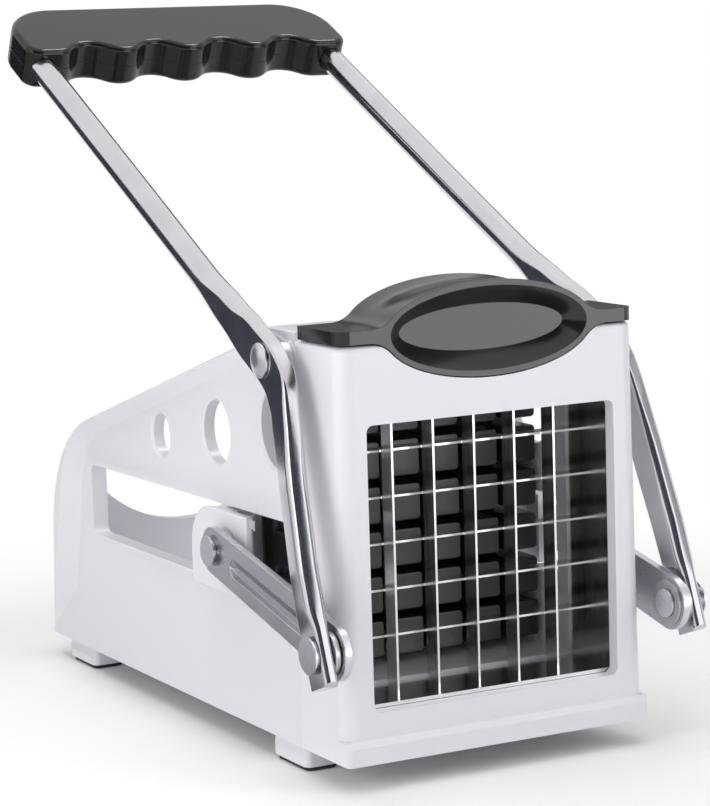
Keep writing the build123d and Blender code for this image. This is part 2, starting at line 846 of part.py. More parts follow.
def lever_arm():
    """One tube of the lever: round above, pressed flat at the pivot, oval shin, flat tip."""
    stations = lever_stations()
    sections = []
    for lower, upper in zip(stations, stations[1:]):
        steps = 1 if upper is stations[-1] else section_steps
        for step in range(steps):
            share = step / steps
            eased = (1 - math.cos(math.pi * share)) / 2
            distance = lower[0] + share * (upper[0] - lower[0])
            x = lower[1] + share * (upper[1] - lower[1])
            width, thickness, squareness = [a + eased * (b - a) for a, b in zip(lower[2:], upper[2:])]
            y, z, angle = lever_path(distance)
            sections.append(tube_section((x, y, z), angle, width, thickness, squareness))
    y, z, angle = lever_path(stations[-1][0])
    sections.append(tube_section((stations[-1][1], y, z), angle, *stations[-1][2:]))
    arm = loft(sections, ruled=True)
    arm += lever_tip()
    inside = pad_centre_x - tube_diameter
    outside = pad_centre_x + tube_diameter
    arm -= rod(pin_radius + running_clearance, inside, outside, pivot_y, pivot_z)
    arm -= rod(pin_radius, tip_inner_x - past, tip_inner_x + tip_thickness + past, pin_y, pin_z)
    return arm


def lever_tip():
    """Flat rounded end of the shin, round the lower pin."""
    low_y, low_z, _ = lever_path(-tip_reach)
    high_y, high_z, _ = lever_path(washer_radius)
    ends = Pos(low_y, low_z) * Circle(tip_width / 2)
    ends += Pos(high_y, high_z) * Circle(tip_width / 2)
    tip = across(make_hull(ends.edges()), tip_inner_x, tip_inner_x + tip_thickness)
    return fillet(tip.faces().filter_by(Axis.X).edges(), tip_edge_round)


def lever_rivet():
    head_x = tip_inner_x + tip_thickness
    shank = rod(pin_radius, link_outer_x + lever_rivet_gap, head_x + past / 2, pin_y, pin_z)
    return shank + domed_head(lever_head_radius, lever_head_height, head_x, pin_y, pin_z)


def lever_washer():
    ring = rod(washer_radius, link_outer_x + lever_rivet_gap, tip_inner_x, pin_y, pin_z)
    return ring - rod(pin_radius, link_outer_x, tip_inner_x + past, pin_y, pin_z)


def pivot_screw():
    head_x = pad_centre_x + pad_thickness_x / 2 + head_gap
    shank = rod(pin_radius, pivot_boss_x - pivot_screw_length, head_x + past / 2, pivot_y, pivot_z)
    return shank + domed_head(pivot_head_radius, pivot_head_height, head_x, pivot_y, pivot_z)


def pivot_spacer():
    inner_face = pad_centre_x - pad_thickness_x / 2 - head_gap
    ring = rod(pivot_spacer_radius, pivot_boss_x, inner_face, pivot_y, pivot_z)
    return ring - rod(pin_radius + running_clearance, panel_half_width, pad_centre_x, pivot_y, pivot_z)


# ---------------------------------------------------------------- grip
def grip_plane():
    return Plane(
        origin=(0, grip_mouth_y, grip_mouth_z), x_dir=(1, 0, 0), z_dir=(0, -along[1], along[0])
    )


def grip_outline():
    """Plan of the grip: a wavy front edge for four fingers and large corners behind."""
    quarter = grip_scallop_pitch / 4
    crest = grip_front
    hollow = grip_front + grip_scallop_depth
    halfway = (crest + hollow) / 2
    wave_radius = (quarter**2 + (grip_scallop_depth / 2) ** 2) / grip_scallop_depth
    half_turn = math.asin(quarter / wave_radius) / 2
    flat_end = 8 * quarter
    blend_x = flat_end - wave_radius * math.sin(half_turn)
    blend_y = crest + wave_radius * (1 - math.cos(half_turn))
    back = grip_front + grip_depth
    first_x = quarter - flat_end
    edge = Curve() + ThreePointArc((-flat_end, crest), (-blend_x, blend_y), (first_x, halfway))
    for finger in range(4):
        x = (finger - 1.5) * grip_scallop_pitch
        edge += ThreePointArc((x - quarter, halfway), (x, hollow), (x + quarter, halfway))
        if finger < 3:
            knob_x = x + 2 * quarter
            edge += ThreePointArc((x + quarter, halfway), (knob_x, crest), (knob_x + quarter, halfway))
    edge += ThreePointArc((flat_end - quarter, halfway), (blend_x, blend_y), (flat_end, crest))
    edge += Polyline(
        (flat_end, crest),
        (grip_half_length, crest),
        (grip_half_length, back),
        (-grip_half_length, back),
        (-grip_half_length, crest),
        (-flat_end, crest),
    )
    face = make_face(edge)
    far = face.vertices().filter_by(lambda v: v.Y > back - near)
    face = fillet(far, grip_far_corner_radius)
    ends = face.vertices().filter_by(lambda v: abs(v.X) > grip_half_length - near)
    front = ends.filter_by(lambda v: v.Y < crest + near)
    return fillet(front, grip_near_corner_radius)


def grip_screw_places():
    middle = grip_front + grip_screw_inset
    return [(x, middle) for x in (-1.5 * grip_scallop_pitch, 0, 1.5 * grip_scallop_pitch)]


def grip_sockets():
    depth = tube_in_grip + socket_end_gap
    radius = tube_diameter / 2 + socket_clearance
    hole = Cylinder(radius, depth, align=(Align.CENTER, Align.CENTER, Align.MIN))
    places = [(x, grip_mouth_y, grip_mouth_z) for x in (-tube_half_spacing, tube_half_spacing)]
    return [Plane(origin=place, z_dir=(0, along[0], along[1])) * hole for place in places]


def grip_half(direction):
    """Upper half of the grip for direction 1, lower half for -1."""
    reach = grip_thickness / 2
    half = upwards(grip_outline(), min(0, direction) * reach, max(0, direction) * reach)
    outer_face = half.faces().sort_by(Axis.Z)[-1 if direction > 0 else 0]
    half = fillet(outer_face.edges(), grip_edge_round)
    for x, y in grip_screw_places():
        hole = upright_rod(screw_radius + running_clearance, x, y, -grip_thickness, grip_thickness / 4)
        seat_z = screw_head_height - reach
        counterbore = upright_rod(screw_head_radius + running_clearance, x, y, -grip_thickness, seat_z)
        half -= hole
        if direction < 0:
            half -= counterbore
    half = grip_plane() * half
    for socket in grip_sockets():
        half -= socket
    return half


def grip_screws():
    screws = []
    for x, y in grip_screw_places():
        low = screw_head_recess - grip_thickness / 2
        head = upright_rod(screw_head_radius, x, y, low, screw_head_height - grip_thickness / 2)
        shank = upright_rod(screw_radius, x, y, low, grip_thickness / 4 - screw_end_gap)
        screws.append(grip_plane() * (head + shank))
    return screws


# ---------------------------------------------------------------- assembly
nodes = {
    "housing": housing(),
    "foot_pads": foot_pads(),
    "blade_cap": blade_cap(),
    "blade_frame": blade_frame(),
    "vertical_blades": vertical_blades(),
    "horizontal_blades": horizontal_blades(),
    "cap_screws": cap_screws(),
    "pusher_carriage": pusher_carriage(),
    "pusher_head": pusher_head(),
    "pusher_fingers": pusher_fingers(),
    "pusher_screws": pusher_screws(),
    "grip_upper": grip_half(1),
    "grip_lower": grip_half(-1),
    "grip_screws": grip_screws(),
}
paired = {
    "pusher_pin": pusher_pin,
    "pusher_washer": pusher_washer,
    "link": link,
    "link_washer": link_washer,
    "link_rivet": link_rivet,
    "lever_arm": lever_arm,
    "lever_rivet": lever_rivet,
    "lever_washer": lever_washer,
    "pivot_screw": pivot_screw,
    "pivot_spacer": pivot_spacer,
}
for name, build in paired.items():
    piece = build()
    nodes[name + "_right"] = piece
    nodes[name + "_left"] = other_side(piece)


def as_compound(pieces):
    """One compound holding every solid of a piece or of a group of equal pieces."""
    group = pieces if isinstance(pieces, list) else [pieces]
    return Compound([solid for piece in group for solid in piece.solids()])


compounds = {name: as_compound(pieces) for name, pieces in nodes.items()}
limits = [compound.bounding_box() for compound in compounds.values()]
middle_y = (min(box.min.Y for box in limits) + max(box.max.Y for box in limits)) / 2
print("the origin is", round(middle_y, 3), "mm behind the front face")

os.makedirs("parts", exist_ok=True)
for name, compound in compounds.items():
    export_step(Pos(0, -middle_y, 0) * compound, f"parts/{name}.step")
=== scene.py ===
import json
import math
from collections import namedtuple

import bmesh
import bpy
from mathutils import Matrix, Vector

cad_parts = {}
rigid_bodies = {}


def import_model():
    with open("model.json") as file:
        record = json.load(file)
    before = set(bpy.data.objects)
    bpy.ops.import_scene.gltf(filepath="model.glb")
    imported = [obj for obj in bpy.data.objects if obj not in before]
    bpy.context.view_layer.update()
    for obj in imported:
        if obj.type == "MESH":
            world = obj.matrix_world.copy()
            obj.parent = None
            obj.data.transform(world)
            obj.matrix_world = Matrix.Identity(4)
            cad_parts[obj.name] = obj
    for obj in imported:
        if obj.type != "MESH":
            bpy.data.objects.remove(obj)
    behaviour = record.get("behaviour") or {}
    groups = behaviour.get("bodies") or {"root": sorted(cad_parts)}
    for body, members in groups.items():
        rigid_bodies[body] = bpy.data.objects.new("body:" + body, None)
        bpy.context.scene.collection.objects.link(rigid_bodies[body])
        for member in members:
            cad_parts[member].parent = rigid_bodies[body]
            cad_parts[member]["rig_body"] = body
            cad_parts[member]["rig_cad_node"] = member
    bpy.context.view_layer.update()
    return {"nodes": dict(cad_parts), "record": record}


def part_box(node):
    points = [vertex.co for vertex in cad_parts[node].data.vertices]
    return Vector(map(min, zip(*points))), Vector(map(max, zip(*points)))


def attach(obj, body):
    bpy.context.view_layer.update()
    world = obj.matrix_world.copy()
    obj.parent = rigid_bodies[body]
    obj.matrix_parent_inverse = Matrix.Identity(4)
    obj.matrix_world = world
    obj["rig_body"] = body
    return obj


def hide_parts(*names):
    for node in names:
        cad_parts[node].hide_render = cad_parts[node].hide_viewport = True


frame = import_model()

# Lever-driven french fry cutter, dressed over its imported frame. Metres, X across the machine,
# +Y from the cutting window to the back, +Z up from the table.

nodes = frame["nodes"]
record = frame["record"]
body_by_node = {node: body for body, members in record["behaviour"]["bodies"].items() for node in members}
lever_pivot = next(row["pos_m"] for row in record["behaviour"]["joints"] if row["name"] == "lever_pivot")

# ---------------------------------------------------------------- sizes
MM = 0.001
TINY = 0.00001                              # less than any real distance on the machine
JOIN_REACH = 0.000004                       # corners of triangles that lie nearer than this are one
FLAT_ANGLE = math.radians(0.05)             # faces that meet at less are one flat face
ROUNDED_ANGLE = math.radians(30)            # edges whose faces meet at more are rounded
CRISP_ANGLE = math.radians(40)              # edges whose faces meet at more keep a crisp shade
CORNER_ANGLE = math.radians(60)             # edges whose faces meet at more are a plate's corners
LEVEL_NORMAL = 0.99                         # a face is level where its normal rises or falls more

# camera
IMAGE_LONG_SIDE = 806
SENSOR = 36.0
FOCAL_PIXELS = 2781.38
CAMERA_PLACE = Vector((-0.37733, -0.73132, 0.20288))
CAMERA_YAW = math.radians(27.98)
CAMERA_PITCH = math.radians(7.85)
CAMERA_ROLL = math.radians(-1.74)
NEAREST_SEEN, FURTHEST_SEEN = 0.05, 20.0

# studio
ROOM_LIGHT = 0.30                           # strength with which the white room lights the machine
PAPER_SIZE = 8.0
PAPER_TONE = (0.93, 0.93, 0.93)
SHADOW_REACH = (0.15, 0.32)                 # the shadow fades out between these distances
SHADOW_LIFT = 0.03                          # share of white mixed into the paper under the machine
MACHINE_MIDDLE = (0, 0, 0.1)
CARD_LIFT = 0.0005                          # height of a card that lies on the paper

# housing: places along the machine are measured from its front face
FRONT_TO_MIDDLE = 99.186 * MM
BLOCK_TOP = 118.8 * MM
PANEL_FACE = 37.5 * MM                      # what lies further out belongs to a side panel
SLOT_LOW, SLOT_HIGH = 45.5 * MM, 66.0 * MM
SLOT_FRONT, SLOT_REAR = 30.0 * MM - FRONT_TO_MIDDLE, 177.0 * MM - FRONT_TO_MIDDLE
SLOT_BORDER = 5.5 * MM                      # moulded border round the slot
SLOT_CORNER = 2.6 * MM                      # reach of the slot's rounded corners
SLOT_FLOOR_DROP, SLOT_REAR_SHIFT, SLOT_FRONT_RISE = 1.6 * MM, 1.5 * MM, 1.2 * MM
BRIDGE_START = 1.0 * MM                     # the raised bridge begins this far behind the cap
BRIDGE_STEP = 0.3 * MM                      # with a step this long
BRIDGE_END = 13.2 * MM                      # and ends this far behind the lever's pivot
BRIDGE_RISE = 2.2 * MM
BRIDGE_DEPTH = 3.0 * MM                     # what lies nearer than this to the block's top is raised
PIVOT_BOSS = 4.7 * MM                       # radius of the boss round the pivot, which stays as it is

# carriage, ram and cap
CARRIAGE_PLATE = 2.3 * MM                   # the plates outside the slots lie within this of the sides
CARRIAGE_PLATE_REAR = 12.6 * MM             # and their rear ends within this of the back
CARRIAGE_PLATE_GROWTH = 4.0 * MM            # to the back
CARRIAGE_PLATE_STRETCH = 1.06               # upwards, from the slots' floor
RAM_EDGE = 0.5 * MM                         # the plate's upright edges lie within this of its sides
RAM_ROUND = 0.46                            # their radius as a share of the plate's thickness
CAP_OVAL_RISE = 10.7 * MM                   # height of the oval rims over the cap's bar
# shares of the cap's depth, each with the share of the ovals' height that is left there
CAP_WAIST = ((0.23, 0.972), (0.36, 0.945), (0.5, 0.93), (0.64, 0.945), (0.77, 0.972))

# links: the floor of the pressed groove
GROOVE_DEPTHS = (0.25 * MM, 1.2 * MM)       # it lies between these depths
GROOVE_HALF = 3.2 * MM                      # nearer than this to the link's middle line
GROOVE_MARGIN = 7.5 * MM                    # and further than this from either pin
GROOVE_SHORTENING = 5 * MM                  # taken from its length, for a length from pin to pin
GROOVE_NARROWING = 0.4                      # share of its width that is left

# lever arms and grip
HANDLE_RISE = math.radians(26.4)
HANDLE_ALONG = Vector((0, math.cos(HANDLE_RISE), math.sin(HANDLE_RISE)))
HANDLE_UNDER = Vector((0, math.sin(HANDLE_RISE), -math.cos(HANDLE_RISE)))
KNEE_REACH = 10.1 * MM                      # from the knee's corner to each end of its bend
RING_POINTS = 32
RINGS_PER_STATION = 4
TIP_BEVEL = (2.2, 2.8)                      # front corner of the tip, across and along the tube, in mm
TIP_RADIUS = 1.5 * MM                       # rear corner of the tip
TIP_CUTS = (22.5, 45, 67.5)                 # degrees at which the cuts round it
TIP_REACH = 9.5 * MM                        # only faces nearer than this to the tube's end are cut
GRIP_MOUTH = 168.9 * MM                     # along the handle, from the pivot
GRIP_SCREW_REACH = 19.5 * MM                # along the handle, from the grip's mouth
GRIP_SCREW_DEPTH = 4.7 * MM                 # under the tubes' middle line
GRIP_SCREW_SPACING = 34.575 * MM

# fasteners
HEAD_POINTS = 48
CROWN_STEPS = (0.42, 0.3, 0.18, 0.1)        # shares of the crown's height, ring by ring
CROWN_RING = 0.17                           # width of such a ring as a share of the head's radius
SHANK_BEVEL = 0.4 * MM
CROSS_WIDTH = 0.2                           # width of a cross recess's bars, of the head's radius
CROSS_TAPER = 0.55                          # share of their width and length left at their floor
CELL_PITCH = 12.7 * MM                      # of the blade grid, which also spaces the screws behind it
SCREW_SINK = 1.8 * MM                       # from the end of a small screw's head to its seat

Ring = namedtuple("Ring", "distance x turn width thickness corner")


# ---------------------------------------------------------------- camera
def aim_camera():
    """Camera that stands left of the machine and looks a little down on its front."""
    level = Vector((math.cos(CAMERA_YAW), -math.sin(CAMERA_YAW), 0))
    forward = Vector((
        math.sin(CAMERA_YAW) * math.cos(CAMERA_PITCH),
        math.cos(CAMERA_YAW) * math.cos(CAMERA_PITCH),
        -math.sin(CAMERA_PITCH),
    ))
    upright = level.cross(forward)
    right = math.cos(CAMERA_ROLL) * level + math.sin(CAMERA_ROLL) * upright
    up = -math.sin(CAMERA_ROLL) * level + math.cos(CAMERA_ROLL) * upright
    bpy.ops.object.camera_add(location=CAMERA_PLACE)
    camera = bpy.context.object
    camera.name = "studio_camera"
    camera.data.sensor_width = SENSOR
    camera.data.lens = FOCAL_PIXELS / IMAGE_LONG_SIDE * SENSOR
    camera.data.clip_start = NEAREST_SEEN
    camera.data.clip_end = FURTHEST_SEEN
    axes = Matrix((right, up, -forward)).transposed().to_4x4()
    camera.matrix_world = Matrix.Translation(CAMERA_PLACE) @ axes
    bpy.context.scene.camera = camera


# ---------------------------------------------------------------- stage and light
def new_material(name):
    """Material with an empty node tree that holds one Principled shader and the output."""
    material = bpy.data.materials.new(name)
    material.use_nodes = True
    return material, material.node_tree.nodes, material.node_tree.links


def seen_or_mirrored(tree, links):
    """Value of 1 for what the camera sees, straight or in a reflection, and 0 for what lights."""
    path = tree.new("ShaderNodeLightPath")
    seen = tree.new("ShaderNodeMath")
    seen.operation = "MAXIMUM"
    links.new(path.outputs["Is Camera Ray"], seen.inputs[0])
    links.new(path.outputs["Is Glossy Ray"], seen.inputs[1])
    return seen.outputs[0]


def build_room():
    """White room that lights the machine only softly."""
    world = bpy.data.worlds.new("studio")
    bpy.context.scene.world = world
    world.use_nodes = True
    tree, links = world.node_tree.nodes, world.node_tree.links
    background = tree["Background"]
    background.inputs["Color"].default_value = (1.0, 1.0, 1.0, 1)
    seen = seen_or_mirrored(tree, links)
    level = tree.new("ShaderNodeMapRange")
    level.inputs["To Min"].default_value = ROOM_LIGHT
    level.inputs["To Max"].default_value = 1.0
    links.new(seen, level.inputs["Value"])
    links.new(level.outputs["Result"], background.inputs["Strength"])


def lay_paper():
    """Pale floor that keeps the machine's shadow and turns white away from it."""
    bpy.ops.mesh.primitive_plane_add(size=PAPER_SIZE, location=(0, 0, 0))
    floor = bpy.context.object
    floor.name = "floor"
    material, tree, links = new_material("floor_paper")
    shader = tree["Principled BSDF"]
    shader.inputs["Base Color"].default_value = (*PAPER_TONE, 1)
    shader.inputs["Roughness"].default_value = 0.9
    shader.inputs["Specular IOR Level"].default_value = 0.1
    seen = seen_or_mirrored(tree, links)
    place = tree.new("ShaderNodeTexCoord")
    away = tree.new("ShaderNodeVectorMath")
    away.operation = "LENGTH"
    links.new(place.outputs["Object"], away.inputs[0])
    fade = tree.new("ShaderNodeMapRange")
    fade.interpolation_type = "SMOOTHSTEP"
    fade.inputs["From Min"].default_value, fade.inputs["From Max"].default_value = SHADOW_REACH
    fade.inputs["To Min"].default_value = SHADOW_LIFT
    fade.inputs["To Max"].default_value = 1.0
    links.new(away.outputs["Value"], fade.inputs["Value"])
    share = tree.new("ShaderNodeMath")
    share.operation = "MULTIPLY"
    links.new(fade.outputs["Result"], share.inputs[0])
    links.new(seen, share.inputs[1])
    glow = tree.new("ShaderNodeEmission")
    blended = tree.new("ShaderNodeMixShader")
    links.new(share.outputs[0], blended.inputs["Fac"])
    links.new(shader.outputs["BSDF"], blended.inputs[1])
    links.new(glow.outputs["Emission"], blended.inputs[2])
    links.new(blended.outputs["Shader"], tree["Material Output"].inputs["Surface"])
    floor.data.materials.append(material)


def add_softbox(name, place, target, size, power, mirrored):
    """Square area light aimed at a point; mirrored says whether polished metal shows it."""
    bpy.ops.object.light_add(type="AREA", location=place)
    light = bpy.context.object
    light.name = name
    light.data.shape = "RECTANGLE"
    light.data.size = light.data.size_y = size
    light.data.energy = power
    light.rotation_euler = (Vector(target) - Vector(place)).to_track_quat("-Z", "Y").to_euler()
    light.visible_glossy = mirrored


def add_card(name, corners, brightness):
    """Studio card outside the picture, which only reflections see."""
    mesh = bpy.data.meshes.new(name)
    mesh.from_pydata([Vector(corner) for corner in corners], [], [(0, 1, 2, 3)])
    card = bpy.data.objects.new(name, mesh)
    bpy.context.scene.collection.objects.link(card)
    material, tree, links = new_material(name)
    glow = tree.new("ShaderNodeEmission")
    glow.inputs["Color"].default_value = (*brightness, 1)
    links.new(glow.outputs["Emission"], tree["Material Output"].inputs["Surface"])
    mesh.materials.append(material)
    card.visible_camera = False
    card.visible_diffuse = False
    card.visible_shadow = False


def standing(start, end, low, high):
    """Corners of an upright card over a line on the floor."""
    return [(*start, low), (*end, low), (*end, high), (*start, high)]


def lying(left, right, front, back, height):
    """Corners of a level card."""
    return [(left, front, height), (right, front, height), (right, back, height), (left, back, height)]


def build_stage():
    """White room, paper, lamps, and the cards that polished metal and dark plastic mirror."""
    bpy.context.scene.view_settings.view_transform = "Standard"
    build_room()
    lay_paper()
    softboxes = [
        # name, place, target, size, power, mirrored
        ("top_softbox", (-0.2, -0.1, 1.6), MACHINE_MIDDLE, 1.4, 16, False),
        ("left_softbox", (-1.5, -0.7, 1.0), MACHINE_MIDDLE, 0.9, 3.5, True),
        ("right_softbox", (1.1, -1.2, 0.9), MACHINE_MIDDLE, 0.9, 8, True),
        ("near_softbox", (-0.36, -0.15, 0.12), (0, -0.05, 0.07), 0.2, 0.42, False),
        ("back_softbox", (0.4, 1.6, 1.1), MACHINE_MIDDLE, 1.0, 4, False),
    ]
    for softbox in softboxes:
        add_softbox(*softbox)
    cards = [
        # name, corners, brightness
        ("left_dark_card", standing((-0.40, 0.32), (-0.1, 0.75), 0, 0.27), (0.05, 0.055, 0.075)),
        ("left_grey_card", standing((-0.55, 0.05), (-0.41, 0.31), 0, 0.13), (0.42, 0.43, 0.46)),
        ("camera_dark_card", standing((0.34, -1.05), (-0.95, -0.55), 0.2, 1.3), (0.06, 0.06, 0.08)),
        ("front_bright_card", standing((0.41, -0.51), (0.15, -0.65), 0.14, 0.6), (1.3, 1.3, 1.35)),
        ("right_grey_card", standing((0.59, -0.23), (0.41, -0.51), 0.14, 0.6), (0.28, 0.28, 0.30)),
        ("low_bright_card", standing((0.44, -0.44), (0.09, -0.61), 0.005, 0.14), (4.0, 4.0, 4.05)),
        ("floor_grey_card", lying(-0.55, -0.13, -0.08, 0.5, CARD_LIFT), (0.60, 0.60, 0.64)),
        # painted shade: a dark sheet on the paper beside the machine, seen only in reflections, stands in
        # for the machine's shadow on the floor
        ("painted_floor_shade_card", lying(-0.13, -0.065, -0.13, 0.2, CARD_LIFT), (0.10, 0.10, 0.12)),
        ("overhead_bright_card", lying(0.30, 0.62, -0.12, 0.22, 1.2), (12.0, 12.0, 12.2)),
        ("knee_screen_card", lying(-0.036, 0.012, -0.105, -0.030, 0.2), (0.9, 0.9, 0.92)),
        ("rear_dark_card", standing((0.10, 1.2), (0.98, 0.69), 0.08, 0.55), (0.16, 0.16, 0.17)),
    ]
    for card in cards:
        add_card(*card)


# ---------------------------------------------------------------- materials
def texture_place(tree, links, scale=(1, 1, 1)):
    """Object coordinates through a Mapping node."""
    coordinates = tree.new("ShaderNodeTexCoord")
    mapping = tree.new("ShaderNodeMapping")
    mapping.inputs["Scale"].default_value = scale
    links.new(coordinates.outputs["Object"], mapping.inputs["Vector"])
    return mapping.outputs["Vector"]


def noise(tree, links, place, scale, detail=3.0, roughness=0.5):
    """Noise texture on a place."""
    node = tree.new("ShaderNodeTexNoise")
    node.inputs["Scale"].default_value = scale
    node.inputs["Detail"].default_value = detail
    node.inputs["Roughness"].default_value = roughness
    links.new(place, node.inputs["Vector"])
    return node.outputs["Fac"]


def ranged(tree, links, value, low, high, from_low=0.3, from_high=0.7):
    """Noise value brought to a range."""
    node = tree.new("ShaderNodeMapRange")
    node.inputs["From Min"].default_value = from_low
    node.inputs["From Max"].default_value = from_high
    node.inputs["To Min"].default_value = low
    node.inputs["To Max"].default_value = high
    links.new(value, node.inputs["Value"])
    return node.outputs["Result"]


def tinted(tree, links, value, first, second):
    """Two colours mixed by a value."""
    node = tree.new("ShaderNodeMix")
    node.data_type = "RGBA"
    node.inputs["A"].default_value = (*first, 1)
    node.inputs["B"].default_value = (*second, 1)
    links.new(value, node.inputs["Factor"])
    return node.outputs["Result"]


def bumped(tree, links, shader, height, distance, strength):
    """Bump on the shader's normal."""
    node = tree.new("ShaderNodeBump")
    node.inputs["Strength"].default_value = strength
    node.inputs["Distance"].default_value = distance
    links.new(height, node.inputs["Height"])
    links.new(node.outputs["Normal"], shader.inputs["Normal"])


def moulded_plastic(name, colours, roughness, grain, grain_depth, ior=1.5):
    """Injection-moulded plastic: faint clouding of colour and gloss, and a fine moulded grain."""
    material, tree, links = new_material(name)
    shader = tree["Principled BSDF"]
    place = texture_place(tree, links)
    cloud = noise(tree, links, place, scale=14.0, detail=1.0)
    fine = noise(tree, links, place, scale=grain, detail=2.0)
    clouded = tinted(tree, links, ranged(tree, links, cloud, 0, 1, 0.1, 0.9), *colours)
    links.new(clouded, shader.inputs["Base Color"])
    links.new(ranged(tree, links, cloud, *roughness, 0.1, 0.9), shader.inputs["Roughness"])
    shader.inputs["IOR"].default_value = ior
    bumped(tree, links, shader, fine, grain_depth, strength=0.5)
    return material


def steel(name, colours, roughness, marks_per_metre, mark_depth=0.00001):
    """Bare steel with fine marks; they run along the axis that has the fewest of them per metre."""
    material, tree, links = new_material(name)
    shader = tree["Principled BSDF"]
    shader.inputs["Metallic"].default_value = 1.0
    place = texture_place(tree, links, marks_per_metre)
    marks = noise(tree, links, place, scale=1.0, detail=4.0, roughness=0.6)
    cloud = noise(tree, links, texture_place(tree, links), scale=60.0)
    clouded = tinted(tree, links, ranged(tree, links, cloud, 0, 1), *colours)
    links.new(clouded, shader.inputs["Base Color"])
    links.new(ranged(tree, links, marks, *roughness), shader.inputs["Roughness"])
    bumped(tree, links, shader, marks, mark_depth, strength=0.3)
    return material


# ---------------------------------------------------------------- small helpers for modelling
def only(piece):
    """Make one piece the selected and active one, in object mode."""
    if bpy.context.object and bpy.context.object.mode != "OBJECT":
        bpy.ops.object.mode_set(mode="OBJECT")
    bpy.ops.object.select_all(action="DESELECT")
    piece.select_set(True)
    bpy.context.view_layer.objects.active = piece


def edit(piece):
    """Open a piece for editing with nothing selected."""
    only(piece)
    bpy.ops.object.mode_set(mode="EDIT")
    bpy.ops.mesh.select_mode(type="VERT")
    bpy.ops.mesh.select_all(action="DESELECT")


def finish_edit():
    """Close the piece that is open for editing."""
    bpy.ops.object.mode_set(mode="OBJECT")


def pick_vertices(test):
    """Select the vertices of the edited mesh whose place passes a test."""
    bpy.ops.mesh.select_mode(type="VERT")
    mesh = bmesh.from_edit_mesh(bpy.context.object.data)
    for vertex in mesh.verts:
        vertex.select_set(test(vertex.co))
    mesh.select_flush_mode()


def pick_numbers(numbers):
    """Select vertices of the edited mesh by number."""
    wanted = set(numbers)
    mesh = bmesh.from_edit_mesh(bpy.context.object.data)
    mesh.verts.ensure_lookup_table()
    for vertex in mesh.verts:
        vertex.select_set(vertex.index in wanted)
    mesh.select_flush_mode()


def pick_edges(test):
    """Select the edges of the edited mesh whose two ends pass a test."""
    bpy.ops.mesh.select_mode(type="EDGE")
    mesh = bmesh.from_edit_mesh(bpy.context.object.data)
    for edge in mesh.edges:
        edge.select_set(test(edge.verts[0].co) and test(edge.verts[1].co))
    mesh.select_flush_mode()


def pick_faces(test):
    """Select the faces of the edited mesh whose middle and normal pass a test."""
    bpy.ops.mesh.select_mode(type="FACE")
    mesh = bmesh.from_edit_mesh(bpy.context.object.data)
    for face in mesh.faces:
        face.select_set(test(face.calc_center_median(), face.normal))
    mesh.select_flush_mode()


def cut_across(y):
    """Cut the whole edited mesh along an upright plane across the machine."""
    bpy.ops.mesh.select_all(action="SELECT")
    bpy.ops.mesh.bisect(plane_co=(0, y, 0), plane_no=(0, 1, 0))


def apply_place(piece):
    """Put a piece's place, turn and scale into its mesh."""
    only(piece)
    bpy.ops.object.transform_apply(location=True, rotation=True, scale=True)


def round_edges(piece, width, segments=2):
    """Round every sharp edge of a piece and keep its flat faces flat."""
    only(piece)
    bevel = piece.modifiers.new("edges", "BEVEL")
    bevel.width = width
    bevel.segments = segments
    bevel.limit_method = "ANGLE"
    bevel.angle_limit = ROUNDED_ANGLE
    bevel.miter_outer = "MITER_ARC"
    bpy.ops.object.modifier_apply(modifier="edges")
    smooth_faces(piece)


def smooth_faces(piece):
    """Shade a piece smooth, its flat faces flat and its crisp edges crisp."""
    only(piece)
    bpy.ops.object.shade_smooth_by_angle(angle=CRISP_ANGLE)
    weighted = piece.modifiers.new("normals", "WEIGHTED_NORMAL")
    weighted.mode = "FACE_AREA"
    weighted.weight = 100
    weighted.keep_sharp = True
    bpy.ops.object.modifier_apply(modifier="normals")


def joined_copy(node, name):
    """Copy of a CAD node whose loose triangles are joined into whole faces."""
    only(nodes[node])
    bpy.ops.object.duplicate()
    piece = bpy.context.object
    piece.name = name
    piece.parent = None
    piece.matrix_world = Matrix.Identity(4)
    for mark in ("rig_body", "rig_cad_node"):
        if mark in piece:
            del piece[mark]
    if piece.data.has_custom_normals:
        bpy.ops.mesh.customdata_custom_splitnormals_clear()
    bpy.ops.object.mode_set(mode="EDIT")
    bpy.ops.mesh.select_all(action="SELECT")
    bpy.ops.mesh.remove_doubles(threshold=JOIN_REACH)
    bpy.ops.mesh.dissolve_limited(angle_limit=FLAT_ANGLE)
    finish_edit()
    return piece


def hand_over(piece, material, *stands_for):
    """Give a finished piece its finish and its body, and hide the CAD nodes that it stands for."""
    piece.data.materials.clear()
    piece.data.materials.append(material)
    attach(piece, body_by_node[stands_for[0]])
    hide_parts(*stands_for)


def other_side(piece, name):
    """Mirror image of a piece across the middle of the machine, with a mesh of its own."""
    only(piece)
    bpy.ops.object.duplicate()
    twin = bpy.context.object
    twin.name = name
    bpy.ops.object.mode_set(mode="EDIT")
    bpy.ops.mesh.select_all(action="SELECT")
    bpy.ops.transform.resize(value=(-1, 1, 1), center_override=(0, 0, 0))
    bpy.ops.mesh.flip_normals()
    finish_edit()
    smooth_faces(twin)
    return twin


def middle_of(node):
    """Middle of a CAD node's box at rest."""
    low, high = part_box(node)
    return (low + high) / 2


# ---------------------------------------------------------------- mouldings with rounded edges
def moulding(node, name, material, width, segments=2):
    """Piece that keeps its CAD shape and gets rounded edges."""
    piece = joined_copy(node, name)
    round_edges(piece, width, segments)
    hand_over(piece, material, node)


